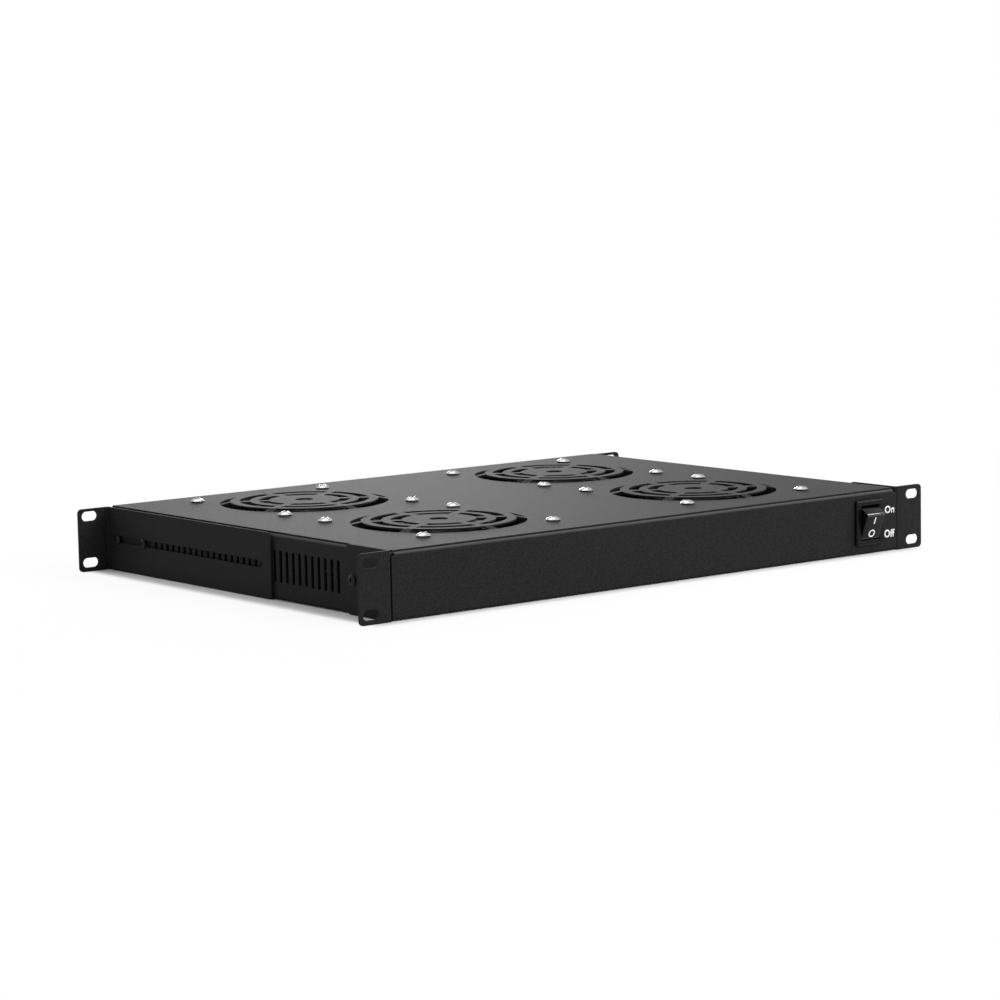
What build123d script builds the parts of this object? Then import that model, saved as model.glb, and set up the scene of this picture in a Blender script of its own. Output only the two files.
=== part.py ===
"""Rack fan tray: a one-unit, 19 inch steel case with four axial fans under a stamped cover.

Millimetres. The origin is the centre of the front ears' hole pattern, on the rear face of the ears,
where they seat on the rack rails. +X is to the right seen from the front, +Y to the rear, +Z up.
"""
from build123d import *
import math
import os

# Rack pattern of one unit
rack_width = 482.6
hole_from_edge = 8.75
hole_spacing_z = 31.75
rack_slot_length = 12.4
rack_slot_width = 6.6

# Ears and sliding brackets
ear_sheet = 1.6
ear_reach = 24.8
ear_height = 44.0
ear_corner = 3.0
ear_bend = 0.8
ear_leg = 43.0
ear_screw_from_end = 6.2
ear_screw_pitch = 24.0
bracket_length = 196.5
bracket_drop = 1.0
bracket_gap = 0.3
bracket_slot_width = 4.8
bracket_slot_to_ear = 8.6
bracket_slot_to_end = 9.9
bracket_screw_to_slot_end = 6.2
bracket_screw_pitch = 32.0

# Folded case
case_sheet = 1.2
case_bend = 0.8
case_rim = 20.4
flange_front = 14.0
flange_side = 12.0
flange_to_fan = 0.55
flange_floor = 12.0
relief_radius = 1.8
vent_pitch = 6.95
vent_from_front = 55.5
vent_from_rear = 59.1
vent_width = 3.1
vent_bevel = 0.9
vent_height = 20.9

# Covers and their stamped guards
cover_sheet = 1.2
floor_sheet = 1.0
floor_clearance = 0.4
fan_to_floor = 1.7
intake_lap = 1.5
intake_edge = 4.5
intake_rows = 9
intake_width = 7.0
intake_spine = 8.0
guard_rings = 3
guard_first = 24.2
guard_ring_width = 7.0
guard_spokes = 6
guard_spoke_width = 6.0
guard_spoke_start = 30.0
guard_eye = 6.2
guard_rise = 1.5

# Fans
fan_size = 120.0
fan_depth = 38.0
fan_column_shift = 2.4
fan_row_gap = 30.7
fan_to_front = 30.85
fan_to_rear = 21.55
fan_hole_to_edge = 7.5
fan_flange = 4.5
fan_corner = 6.0
duct_to_edge = 2.5
duct_wall = 1.9
strut_count = 4
strut_width = 5.0
strut_height = 7.0
strut_skew = 9.0
motor_radius = 33.0
motor_plate = 4.0
motor_recess = 1.5
tube_radius = 6.0
tube_bore = 4.0
tube_to_hub = 1.5
boss_width = 14.0
boss_length = 9.5

# Impeller, shaft, bearings and motor
blade_count = 5
blade_tip_gap = 1.2
hub_radius = 32.0
hub_wall = 3.0
hub_floor = 3.0
hub_start = 3.0
hub_gap = 3.0
hub_boss_radius = 5.5
hub_boss_height = 4.0
blade_inset = 2.65
blade_pitch = 40.0
blade_sweep = 0.25
blade_thickness = 2.2
blade_camber = 2.4
shaft_radius = 2.0
shaft_fit = 0.01
running_fit = 0.05
seat_fit = 0.02
stator_poles = 4
stator_arm = 9.0
stator_reach = 25.0
shoe_thickness = 3.5
shoe_width = 21.0
coil_build = 2.5
coil_length = 8.0
coil_to_plate = 2.0

# Fasteners
fan_screw_radius = 1.95
fan_screw_hole = 2.25
fan_screw_head = 4.8
fan_screw_head_height = 2.8
fan_screw_rim = 0.9
side_screw_radius = 1.75
side_screw_hole = 1.95
side_screw_head_height = 2.0
side_screw_rim = 1.0
ear_screw_head = 3.6
bracket_screw_head = 3.0
side_nut_radius = 3.8
side_nut_height = 3.0
flush_screw_radius = 1.45
flush_screw_hole = 1.6
flush_screw_head = 2.75
flush_screw_length = 4.0
cover_screw_x = 100.0
cover_screw_from_rear = 16.0
head_sides = 16
shank_sides = 8
head_bevel = 45.0

# A cutting tool this long passes right through any sheet
cut_depth = 12.0

# Rocker switch
fitting_to_wall = 27.3
bezel_width = 25.5
bezel_height = 30.8
bezel_proud = 2.7
bezel_corner = 1.5
switch_body_width = 21.6
switch_body_height = 28.1
switch_body_depth = 20.0
switch_cutout_gap = 0.2
window_width = 17.8
window_height = 24.2
window_depth = 8.2
rocker_width = 17.2
rocker_tilt = 20.0
rocker_face = 19.0
rocker_face_height = 7.9
rocker_base = 23.2
rocker_base_drop = 0.5
pivot_setback = 1.8
pivot_radius = 1.5
pivot_reach = 9.9
tab_width = 4.8
tab_thickness = 0.8
tab_length = 8.0
switch_tab_x = 4.6
switch_tab_z = 6.0

# Mains inlet
inlet_flange_width = 50.0
inlet_flange_height = 22.4
inlet_flange_sheet = 3.0
inlet_flange_corner = 4.0
inlet_body_width = 27.0
inlet_body_height = 19.6
inlet_body_depth = 17.0
inlet_cutout_gap = 0.2
socket_width = 24.4
socket_height = 16.4
socket_depth = 17.0
socket_bevel = 4.5
pin_width = 2.0
pin_height = 4.0
pin_recess = 2.0
pin_spread = 7.0
pin_offset = 2.0
inlet_tab_length = 4.0
inlet_screw_pitch = 40.0

# Inner wiring in flat twin flex, standing on edge
block_width = 20.0
block_length = 50.0
block_lap = 4.6
block_poles = 6
block_pole_pitch = 7.0
block_groove_width = 1.2
block_groove_depth = 3.0
flex_thickness = 3.0
flex_height = 6.0
flex_bottom = -4.9
power_lane = 10.2
feed_lane = 4.8
feed_bend = 18.0
fan_flex_bend = 9.0

# Sizes and places that follow from those above
case_width = rack_width - 2 * ear_reach
case_depth = fan_to_front + 2 * fan_size + fan_row_gap + fan_to_rear
hole_spacing_x = rack_width - 2 * hole_from_edge
half_case = case_width / 2
case_front = -ear_sheet
case_rear = case_front + case_depth
flange_rear = fan_to_rear - flange_to_fan
vent_run = case_depth - vent_from_front - vent_from_rear
vent_count = 1 + round(vent_run / vent_pitch)
vent_mid_y = case_front + vent_from_front + vent_run / 2
fan_pitch_x = case_width / 2 + 2 * fan_column_shift
fan_pitch_y = fan_size + fan_row_gap
fan_mid_y = case_front + fan_to_front + fan_size + fan_row_gap / 2
fan_hole_pitch = fan_size - 2 * fan_hole_to_edge
duct_radius = fan_size / 2 - duct_to_edge
boss_reach = duct_radius + boss_length
intake_radius = duct_radius - intake_lap
intake_pitch = (2 * intake_radius - intake_width - 2 * intake_edge) / (intake_rows - 1)
case_bend_outer = case_bend + case_sheet
ear_bend_outer = ear_bend + ear_sheet
cover_top = case_rim + cover_sheet
fan_base = case_rim - fan_depth
floor_top = fan_base - fan_to_floor
case_floor = floor_top - floor_sheet - case_sheet
guard_radius = duct_radius
guard_disc_radius = guard_radius - guard_ring_width
guard_ring_pitch = (guard_disc_radius - guard_first) / (guard_rings - 1)
bracket_bottom = -ear_height / 2
bracket_top = ear_height / 2 - bracket_drop
bracket_wall = half_case + bracket_gap
bracket_slot_length = bracket_length - bracket_slot_to_ear - bracket_slot_to_end
bracket_slot_end = case_rear - bracket_slot_to_ear
bracket_screw_y = bracket_slot_end - bracket_screw_to_slot_end
motor_top = fan_depth - motor_recess
motor_underside = motor_top - motor_plate
tube_end = hub_start + hub_floor + hub_boss_height + tube_to_hub
hub_top = motor_underside - hub_gap
blade_tip = duct_radius - blade_tip_gap
blade_mid = (hub_start + hub_top) / 2
blade_chord = (hub_top - hub_start - 2 * blade_inset) / math.sin(math.radians(blade_pitch))
stator_mid = (tube_end + motor_underside) / 2
stator_height = motor_underside - tube_end - 2 * (coil_build + coil_to_plate)
switch_x = half_case - fitting_to_wall
inlet_x = half_case - fitting_to_wall
pivot_y = case_front + pivot_setback
switch_back = case_front + switch_body_depth
switch_tab_end = switch_back + tab_length
inlet_back = case_rear - inlet_body_depth
inlet_tab_end = inlet_back - inlet_tab_length
block_top = flex_bottom + block_lap
block_height = block_top - floor_top


def corner_box(x0, x1, y0, y1, z0, z1):
    """A box between two opposite corners."""
    middle = Pos((x0 + x1) / 2, (y0 + y1) / 2, (z0 + z1) / 2)
    return middle * Box(x1 - x0, y1 - y0, z1 - z0)


def rod_along_x(radius, x0, x1, y, z):
    """A round rod from x0 to x1."""
    return Pos((x0 + x1) / 2, y, z) * Rot(0, 90, 0) * Cylinder(radius, abs(x1 - x0))


def rod_along_z(radius, z0, z1):
    """A round rod on the Z axis from z0 to z1."""
    return Pos(0, 0, (z0 + z1) / 2) * Cylinder(radius, z1 - z0)


def prism(radius, sides, z0, z1):
    """An upright prism on the Z axis, with its corners at this radius."""
    return Pos(0, 0, z0) * extrude(RegularPolygon(radius, sides), z1 - z0)


def screw_hole(radius, depth):
    """A hole for a faceted shank, on the Z axis and centred on z = 0."""
    return prism(radius, shank_sides, -depth / 2, depth / 2)


def pan_screw(head, head_height, rim, radius, length):
    """A screw pointing down, its bevelled round head standing on z = 0."""
    crown = extrude(Pos(0, 0, rim) * RegularPolygon(head, head_sides), head_height - rim, taper=head_bevel)
    return crown + prism(head, head_sides, 0, rim) + prism(radius, shank_sides, -length, 0)


def fan_centres():
    """The fans' axes, in rows from the front: left, then right."""
    rows = (fan_mid_y - fan_pitch_y / 2, fan_mid_y + fan_pitch_y / 2)
    return [(x, y) for y in rows for x in (-fan_pitch_x / 2, fan_pitch_x / 2)]


def fan_corners():
    """The screw places of one fan, about its axis."""
    half = fan_hole_pitch / 2
    return [(x, y) for x in (-half, half) for y in (-half, half)]


def mirrored(shape, side):
    """The right-hand shape, or its mirror image on the left."""
    return shape if side > 0 else mirror(shape, about=Plane.YZ)


def guard_openings():
    """Rings of slots, parted by spokes that run through all of them, and the eye in the middle."""
    rings = Sketch()
    for ring in range(guard_rings):
        inner = guard_first + ring * guard_ring_pitch
        rings += Circle(inner + guard_ring_width) - Circle(inner)
    turn = 360 / guard_spokes
    for spoke in range(guard_spokes):
        arm = Pos(guard_radius / 2 + guard_spoke_width, 0) * Rectangle(guard_radius, guard_spoke_width)
        rings -= Rot(0, 0, guard_spoke_start + spoke * turn) * arm
    return rings + Circle(guard_eye)


def ear_screw_places():
    """Y of the screws in a front ear's leg."""
    last = case_front + ear_leg + ear_sheet - ear_screw_from_end
    return [last - ear_screw_pitch, last]


def bracket_screw_places():
    """Y of the screws that the rear brackets slide on."""
    return [bracket_screw_y - bracket_screw_pitch, bracket_screw_y]


def side_screw_hole_rods():
    """Rods through both side walls, where the side screws pass."""
    places = ear_screw_places() + bracket_screw_places()
    return [Pos(0, y, 0) * Rot(0, 90, 0) * screw_hole(side_screw_hole, 2 * case_width) for y in places]


def cover_screw_places():
    """The two screws that hold the cover at the rear."""
    return [(x, case_rear - cover_screw_from_rear) for x in (-cover_screw_x, cover_screw_x)]


def case():
    """Front panel, side walls and rear wall in one folded sheet, with flanges turned in above and below."""
    outer = corner_box(-half_case, half_case, case_front, case_rear, case_floor, case_rim)
    outer = fillet(outer.edges().filter_by(Axis.Z, reverse=True), case_bend_outer)
    inner = corner_box(
        -half_case + case_sheet, half_case - case_sheet,
        case_front + case_sheet, case_rear - case_sheet,
        case_floor + case_sheet, case_rim - case_sheet,
    )
    inner = fillet(inner.edges().filter_by(Axis.Z, reverse=True), case_bend)
    body = outer - inner
    body -= corner_box(
        -half_case + flange_side, half_case - flange_side,
        case_front + flange_front, case_rear - flange_rear,
        0, case_rim + case_sheet,
    )
    body -= corner_box(
        -half_case + flange_floor, half_case - flange_floor,
        case_front + flange_floor, case_rear - flange_floor,
        case_floor - case_sheet, 0,
    )
    for x in (-half_case + case_bend, half_case - case_bend):
        for y in (case_front + case_bend, case_rear - case_bend):
            body -= Pos(x, y, case_rim) * Cylinder(relief_radius, 2 * case_bend_outer)
    vent = chamfer(Rectangle(vent_width, vent_height).vertices(), vent_bevel)
    vents = Plane.YZ * Pos(vent_mid_y, 0) * GridLocations(vent_pitch, 1, vent_count, 1) * vent
    body -= extrude(Sketch() + vents, case_width, both=True)
    body -= side_screw_hole_rods()
    cutout_x = switch_body_width / 2 + switch_cutout_gap
    cutout_z = switch_body_height / 2 + switch_cutout_gap
    body -= corner_box(
        switch_x - cutout_x, switch_x + cutout_x,
        case_front - cut_depth / 2, case_front + cut_depth / 2, -cutout_z, cutout_z,
    )
    inlet_cut_x = inlet_body_width / 2 + inlet_cutout_gap
    inlet_cut_z = inlet_body_height / 2 + inlet_cutout_gap
    body -= corner_box(
        inlet_x - inlet_cut_x, inlet_x + inlet_cut_x,
        case_rear - cut_depth / 2, case_rear + cut_depth / 2, -inlet_cut_z, inlet_cut_z,
    )
    for x in (-inlet_screw_pitch / 2, inlet_screw_pitch / 2):
        body -= Pos(inlet_x + x, case_rear, 0) * Rot(90, 0, 0) * screw_hole(flush_screw_hole, cut_depth)
    for x, y in cover_screw_places():
        body -= Pos(x, y, case_rim) * screw_hole(flush_screw_hole, cut_depth)
    return body


def flush_head(gap):
    """The bevelled head of a countersunk screw, or its seat, narrowing upward from z = 0."""
    sink = flush_screw_head - flush_screw_hole
    return extrude(RegularPolygon(flush_screw_head - gap, head_sides), sink, taper=head_bevel)


def flush_seat():
    """A screw hole with a countersink at its lower end."""
    return flush_head(0) + screw_hole(flush_screw_hole, cut_depth)


def flush_screw():
    """A countersunk screw pointing up, its flat head at z = 0."""
    return flush_head(seat_fit) + prism(flush_screw_radius, shank_sides, 0, flush_screw_length)


def top_cover():
    """The flat cover with four stamped guards, each a raised disc on sloping spokes."""
    cover = corner_box(
        -half_case + case_bend_outer, half_case - case_bend_outer,
        case_front + case_bend_outer, case_rear - case_bend_outer, case_rim, cover_top,
    )
    dish = Polyline(
        (0, guard_rise), (guard_disc_radius, guard_rise), (guard_radius, 0), (guard_radius, cover_sheet),
        (guard_disc_radius, guard_rise + cover_sheet), (0, guard_rise + cover_sheet), close=True,
    )
    guard = revolve(Plane.XZ * make_face(dish), Axis.Z)
    guard -= extrude(guard_openings(), cut_depth)
    for x, y in fan_centres():
        here = Pos(x, y, case_rim)
        cover -= here * Cylinder(guard_radius, cut_depth)
        cover += here * guard
        for hole_x, hole_y in fan_corners():
            cover -= here * Pos(hole_x, hole_y) * screw_hole(fan_screw_hole, cut_depth)
    for x, y in cover_screw_places():
        cover -= Pos(x, y, cover_top) * Rot(180, 0, 0) * flush_seat()
    return cover


def intake_slots():
    """Rows of straight slots that fill a circle, parted by a spine in the middle."""
    slots = Sketch()
    for row in range(intake_rows):
        y = (row - (intake_rows - 1) / 2) * intake_pitch
        reach = math.sqrt(intake_radius**2 - (abs(y) + intake_width / 2) ** 2)
        length = reach - intake_spine / 2
        for side in (-1, 1):
            slots += Pos(side * (reach - length / 2), y) * Rectangle(length, intake_width)
    return slots


def bottom_cover():
    """The sheet on the floor flanges, with a slotted intake under each fan."""
    gap = case_sheet + case_bend + floor_clearance
    sheet = corner_box(
        -half_case + gap, half_case - gap,
        case_front + gap, case_rear - gap, case_floor + case_sheet, floor_top,
    )
    intake = extrude(intake_slots(), cut_depth)
    for x, y in fan_centres():
        sheet -= Pos(x, y, floor_top - cut_depth / 2) * intake
    return sheet


def angle_bracket(wall, ear_face, leg_end, bottom, top):
    """A right-hand L bracket: its leg lies along the wall and its ear stands outward at ear_face."""
    inward = ear_sheet if leg_end > ear_face else -ear_sheet
    outline = Polyline(
        (wall, ear_face), (rack_width / 2, ear_face), (rack_width / 2, ear_face + inward),
        (wall + ear_sheet, ear_face + inward), (wall + ear_sheet, leg_end), (wall, leg_end), close=True,
    )
    section = make_face(outline)
    section = fillet(section.vertices().sort_by_distance((wall, ear_face))[0], ear_bend_outer)
    crook = section.vertices().sort_by_distance((wall + ear_sheet, ear_face + inward))[0]
    section = fillet(crook, ear_bend)
    body = extrude(Pos(0, 0, bottom) * section, top - bottom)
    body = fillet(body.edges().filter_by(Axis.Y).group_by(Axis.X)[-1], ear_corner)
    leg_edges = body.edges().filter_by(Axis.X).sort_by_distance((wall, leg_end, 0))[:2]
    body = fillet(leg_edges, ear_corner)
    slot = Rot(90, 0, 0) * extrude(SlotOverall(rack_slot_length, rack_slot_width), cut_depth / 2, both=True)
    for z in (-hole_spacing_z / 2, hole_spacing_z / 2):
        body -= Pos(hole_spacing_x / 2, ear_face + inward / 2, z) * slot
    return body


def front_ear():
    """The right-hand front ear, screwed to the side wall."""
    leg_end = case_front + ear_sheet + ear_leg
    body = angle_bracket(half_case, case_front, leg_end, -ear_height / 2, ear_height / 2)
    for y in ear_screw_places():
        body -= Pos(half_case, y, 0) * Rot(0, 90, 0) * screw_hole(side_screw_hole, cut_depth)
    return body


def rear_bracket():
    """The right-hand sliding bracket, which two screws in its long slot guide."""
    body = angle_bracket(bracket_wall, case_rear, case_rear - bracket_length, bracket_bottom, bracket_top)
    slot_mid = bracket_slot_end - bracket_slot_length / 2
    slot = Plane.YZ * SlotOverall(bracket_slot_length, bracket_slot_width)
    body -= Pos(bracket_wall, slot_mid, 0) * extrude(slot, cut_depth / 2, both=True)
    return body


def side_screw(head, seat):
    """A pan-head screw through the right-hand wall, its head standing on the plane x = seat."""
    length = seat - (half_case - case_sheet - side_nut_height)
    screw = pan_screw(head, side_screw_head_height, side_screw_rim, side_screw_radius, length)
    return Pos(seat, 0, 0) * Rot(0, 90, 0) * screw


def side_nut():
    """A round clinch nut on the inner face of the right-hand wall."""
    nut = prism(side_nut_radius, head_sides, -side_nut_height, 0)
    nut -= screw_hole(side_screw_radius + seat_fit, cut_depth)
    return Pos(half_case - case_sheet, 0, 0) * Rot(0, 90, 0) * nut


def side_set(shape, places):
    """The shape at each place along both side walls."""
    return [mirrored(Pos(0, y, 0) * shape, side) for side in (-1, 1) for y in places]


def fan_screw():
    """A bright screw through the cover into the fan's flange."""
    return pan_screw(
        fan_screw_head, fan_screw_head_height, fan_screw_rim, fan_screw_radius, cover_sheet + fan_flange
    )


def fan_frame(corner_turn):
    """The square die-cast frame: two flanges, the duct, and the motor plate on its struts."""
    plate = extrude(RectangleRounded(fan_size, fan_size, fan_corner), fan_flange)
    frame = plate + Pos(0, 0, fan_depth - fan_flange) * plate
    frame += rod_along_z(duct_radius + duct_wall, 0, fan_depth)
    boss = corner_box(
        duct_radius, boss_reach, -boss_width / 2, boss_width / 2,
        (fan_depth - boss_width) / 2, (fan_depth + boss_width) / 2,
    )
    frame += Rot(0, 0, corner_turn) * boss
    frame -= rod_along_z(duct_radius, 0, fan_depth)
    strut_reach = duct_radius + duct_wall / 2
    for strut in range(strut_count):
        bar = corner_box(
            motor_radius / 2, strut_reach, strut_skew, strut_skew + strut_width,
            motor_top - strut_height, motor_top,
        )
        frame += Rot(0, 0, strut * 360 / strut_count) * bar & rod_along_z(strut_reach, 0, fan_depth)
    frame += rod_along_z(motor_radius, motor_underside, motor_top)
    frame -= rod_along_z(motor_radius - hub_wall, motor_top - strut_height, motor_underside)
    frame += rod_along_z(tube_radius, tube_end, motor_underside)
    frame -= rod_along_z(tube_bore, tube_end, motor_underside)
    for x, y in fan_corners():
        frame -= Pos(x, y, 0) * screw_hole(fan_screw_radius + seat_fit, 4 * fan_depth)
    return frame


def blade():
    """One cambered blade, swept forward, with its leading edge low and its tip following the duct."""
    half = blade_chord / 2
    upper = ThreePointArc((-half, 0), (0, blade_thickness / 2 - blade_camber), (half, 0))
    lower = ThreePointArc((half, 0), (0, -blade_thickness / 2 - blade_camber), (-half, 0))
    section = Rot(0, 0, -blade_pitch) * make_face([upper, lower])
    lean = Plane(origin=(0, 0, blade_mid), x_dir=(-blade_sweep, 1, 0), z_dir=(1, blade_sweep, 0))
    body = extrude(lean.offset(hub_radius - hub_wall) * section, duct_radius)
    body &= rod_along_z(blade_tip, 0, fan_depth)
    return body - rod_along_z(hub_radius - hub_wall / 2, 0, fan_depth)


def impeller():
    """The cup-shaped hub with its blades."""
    hub = rod_along_z(hub_radius, hub_start, hub_top)
    hub -= rod_along_z(hub_radius - hub_wall, hub_start + hub_floor, hub_top)
    hub += rod_along_z(hub_boss_radius, hub_start, hub_start + hub_floor + hub_boss_height)
    for turn in range(blade_count):
        hub += Rot(0, 0, turn * 360 / blade_count) * blade()
    return hub - rod_along_z(shaft_radius + shaft_fit, 0, fan_depth)


def fan_shaft():
    """The steel shaft, held in the hub and running in the sleeve bearing."""
    return rod_along_z(shaft_radius, hub_start, motor_underside - running_fit)


def fan_bearing():
    """The sleeve bearing that fills the motor tube."""
    sleeve = rod_along_z(tube_bore - seat_fit, tube_end, motor_underside)
    return sleeve - rod_along_z(shaft_radius + running_fit, tube_end, motor_underside)


def fan_stator():
    """The four-pole core on the motor tube."""
    pole = Pos(stator_reach / 2, 0, 0) * Box(stator_reach, stator_arm, stator_height)
    pole += Pos(stator_reach - shoe_thickness / 2, 0, 0) * Box(shoe_thickness, shoe_width, stator_height)
    core = Cylinder(stator_arm, stator_height)
    for turn in range(stator_poles):
        core += Rot(0, 0, turn * 360 / stator_poles) * pole
    core -= Cylinder(tube_radius + seat_fit, stator_height)
    return Pos(0, 0, stator_mid) * core


def fan_coils():
    """A winding round each arm of the core."""
    middle = stator_reach - shoe_thickness - coil_length / 2
    outer = Box(coil_length, stator_arm + 2 * coil_build, stator_height + 2 * coil_build)
    coil = Pos(middle, 0, stator_mid) * (outer - Box(coil_length, stator_arm, stator_height))
    return [Rot(0, 0, turn * 360 / stator_poles) * coil for turn in range(stator_poles)]


def switch_housing():
    """The bezel on the front panel and the body behind it, open where the rocker sits."""
    bezel = extrude(RectangleRounded(bezel_width, bezel_height, bezel_corner), bezel_proud)
    bezel = chamfer(bezel.faces().sort_by(Axis.Z)[-1].edges(), bezel_corner / 2)
    housing = Pos(0, case_front, 0) * Rot(90, 0, 0) * bezel
    half_x = switch_body_width / 2
    half_z = switch_body_height / 2
    housing += corner_box(-half_x, half_x, case_front, switch_back, -half_z, half_z)
    housing -= corner_box(
        -window_width / 2, window_width / 2, case_front - bezel_proud, case_front + window_depth,
        -window_height / 2, window_height / 2,
    )
    socket_reach = pivot_reach + running_fit
    housing -= rod_along_x(pivot_radius + running_fit, -socket_reach, socket_reach, pivot_y, 0)
    return Pos(switch_x, 0, 0) * housing


def switch_rocker():
    """The rocker, tipped to off, with a pivot pin on each side."""
    outline = Polyline(
        (-rocker_face / 2, rocker_face_height), (rocker_face / 2, rocker_face_height),
        (rocker_base / 2, -rocker_base_drop), (-rocker_base / 2, -rocker_base_drop), close=True,
    )
    side = Plane(origin=(0, 0, 0), x_dir=(0, 0, 1), z_dir=(1, 0, 0)) * make_face(outline)
    rocker = extrude(side, rocker_width / 2, both=True)
    rocker += rod_along_x(pivot_radius, -pivot_reach, pivot_reach, 0, 0)
    return Pos(switch_x, pivot_y, 0) * Rot(rocker_tilt, 0, 0) * rocker


def switch_terminals():
    """Four tabs on the back of the switch."""
    tab = corner_box(
        -tab_width / 2, tab_width / 2, switch_back, switch_tab_end, -tab_thickness / 2, tab_thickness / 2
    )
    return [
        Pos(switch_x + x, 0, z) * tab
        for x in (-switch_tab_x, switch_tab_x) for z in (-switch_tab_z, switch_tab_z)
    ]


def power_inlet():
    """The flanged mains inlet in the rear wall, with its socket open to the rear."""
    outline = RectangleRounded(inlet_flange_width, inlet_flange_height, inlet_flange_corner)
    inlet = Pos(0, case_rear, 0) * Rot(-90, 0, 0) * extrude(outline, inlet_flange_sheet)
    half_x = inlet_body_width / 2
    half_z = inlet_body_height / 2
    inlet += corner_box(-half_x, half_x, inlet_back, case_rear, -half_z, half_z)
    mouth = chamfer(Rectangle(socket_width, socket_height).vertices().group_by(Axis.Y)[-1], socket_bevel)
    socket = extrude(Rot(90, 0, 0) * mouth, socket_depth)
    inlet -= Pos(0, case_rear + inlet_flange_sheet, 0) * socket
    for x, z in inlet_pin_places():
        inlet -= corner_box(
            x - pin_width / 2, x + pin_width / 2, inlet_back, case_rear,
            z - pin_height / 2, z + pin_height / 2,
        )
    for x in (-inlet_screw_pitch / 2, inlet_screw_pitch / 2):
        inlet -= Pos(x, case_rear + inlet_flange_sheet, 0) * Rot(-90, 0, 0) * Rot(180, 0, 0) * flush_seat()
    return Pos(inlet_x, 0, 0) * inlet


def inlet_pin_places():
    """Line, earth and neutral pins, seen from the front."""
    return [(-pin_spread, -pin_offset), (0, pin_offset), (pin_spread, -pin_offset)]


def inlet_pins():
    """Three flat pins that run through the inlet to their solder tabs."""
    return [
        corner_box(
            inlet_x + x - pin_width / 2, inlet_x + x + pin_width / 2, inlet_tab_end,
            case_rear + inlet_flange_sheet - pin_recess, z - pin_height / 2, z + pin_height / 2,
        )
        for x, z in inlet_pin_places()
    ]


def inlet_screws():
    """Two countersunk screws through the inlet's flange and the rear wall."""
    place = Pos(inlet_x, case_rear + inlet_flange_sheet, 0) * Rot(-90, 0, 0) * Rot(180, 0, 0)
    return [place * Pos(x, 0, 0) * flush_screw() for x in (-inlet_screw_pitch / 2, inlet_screw_pitch / 2)]


def pole_places():
    """Y of the wire entries along the terminal block."""
    return [fan_mid_y + (pole - (block_poles - 1) / 2) * block_pole_pitch for pole in range(block_poles)]


def terminal_block():
    """The strip that splits the supply to the fans, on the bottom cover."""
    body = Pos(0, fan_mid_y, (floor_top + block_top) / 2) * Box(block_width, block_length, block_height)
    groove = Box(block_width, block_groove_width, 2 * block_groove_depth)
    for pole in pole_places()[:-1]:
        body -= Pos(0, pole + block_pole_pitch / 2, block_top) * groove
    return body


def flat_flex(points, bend):
    """A flat twin cable on edge, along level runs joined by arcs."""
    strip = trace(FilletPolyline(*points, radius=bend), flex_thickness)
    return extrude(Pos(0, 0, flex_bottom) * strip, flex_height)


def power_cable():
    """From the inlet straight forward along the right-hand wall to the switch."""
    lane = switch_x + power_lane
    half = flex_thickness / 2
    return corner_box(
        lane - half, lane + half, switch_back, inlet_back, flex_bottom, flex_bottom + flex_height
    )


def feed_cable():
    """From the switch back beside the fan, then between the rows of fans to the terminal block."""
    lane = switch_x + feed_lane
    return flat_flex([(lane, switch_back), (lane, fan_mid_y), (block_width / 2, fan_mid_y)], feed_bend)


def fan_cable(x, y):
    """From one fan's terminal boss to its pole of the terminal block."""
    side = math.copysign(1, x)
    row = math.copysign(1, y - fan_mid_y)
    pole_y = pole_places()[0] if row < 0 else pole_places()[-1]
    start_x = abs(x) - boss_reach / math.sqrt(2)
    start_y = y - row * boss_reach / math.sqrt(2)
    corner_x = start_x - abs(pole_y - start_y)
    points = [(side * start_x, start_y), (side * corner_x, pole_y), (side * block_width / 2, pole_y)]
    return flat_flex(points, fan_flex_bend)


def save(name, shapes):
    """Writes one node, a single solid or a group of separate ones."""
    shape = shapes if not isinstance(shapes, list) else Compound(shapes)
    export_step(shape, f"parts/{name}.step")


def main():
    os.makedirs("parts", exist_ok=True)
    save("chassis", case())
    save("top_cover", top_cover())
    save("bottom_cover", bottom_cover())
    save("cover_screws", [
        Pos(x, y, cover_top) * Rot(180, 0, 0) * flush_screw() for x, y in cover_screw_places()
    ])
    for name, side in (("left", -1), ("right", 1)):
        save(f"front_ear_{name}", mirrored(front_ear(), side))
        save(f"rear_bracket_{name}", mirrored(rear_bracket(), side))
    ear_screw = side_screw(ear_screw_head, half_case + ear_sheet)
    save("front_ear_screws", side_set(ear_screw, ear_screw_places()))
    bracket_screw = side_screw(bracket_screw_head, bracket_wall + ear_sheet + bracket_gap)
    save("bracket_screws", side_set(bracket_screw, bracket_screw_places()))
    save("side_nuts", side_set(side_nut(), ear_screw_places() + bracket_screw_places()))
    save("fan_screws", [
        Pos(x + hole_x, y + hole_y, cover_top) * fan_screw()
        for x, y in fan_centres() for hole_x, hole_y in fan_corners()
    ])
    for number, (x, y) in enumerate(fan_centres(), start=1):
        here = Pos(x, y, fan_base)
        corner_turn = math.degrees(math.atan2(math.copysign(1, fan_mid_y - y), math.copysign(1, -x)))
        save(f"fan_{number}_frame", here * fan_frame(corner_turn))
        save(f"fan_{number}_impeller", here * impeller())
        save(f"fan_{number}_shaft", here * fan_shaft())
        save(f"fan_{number}_bearing", here * fan_bearing())
        save(f"fan_{number}_stator", here * fan_stator())
        save(f"fan_{number}_coils", [here * coil for coil in fan_coils()])
        save(f"fan_{number}_cable", fan_cable(x, y))
    save("switch_housing", switch_housing())
    save("switch_rocker", switch_rocker())
    save("switch_terminals", switch_terminals())
    save("power_inlet", power_inlet())
    save("inlet_pins", inlet_pins())
    save("inlet_screws", inlet_screws())
    save("terminal_block", terminal_block())
    save("power_cable", power_cable())
    save("feed_cable", feed_cable())


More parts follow.
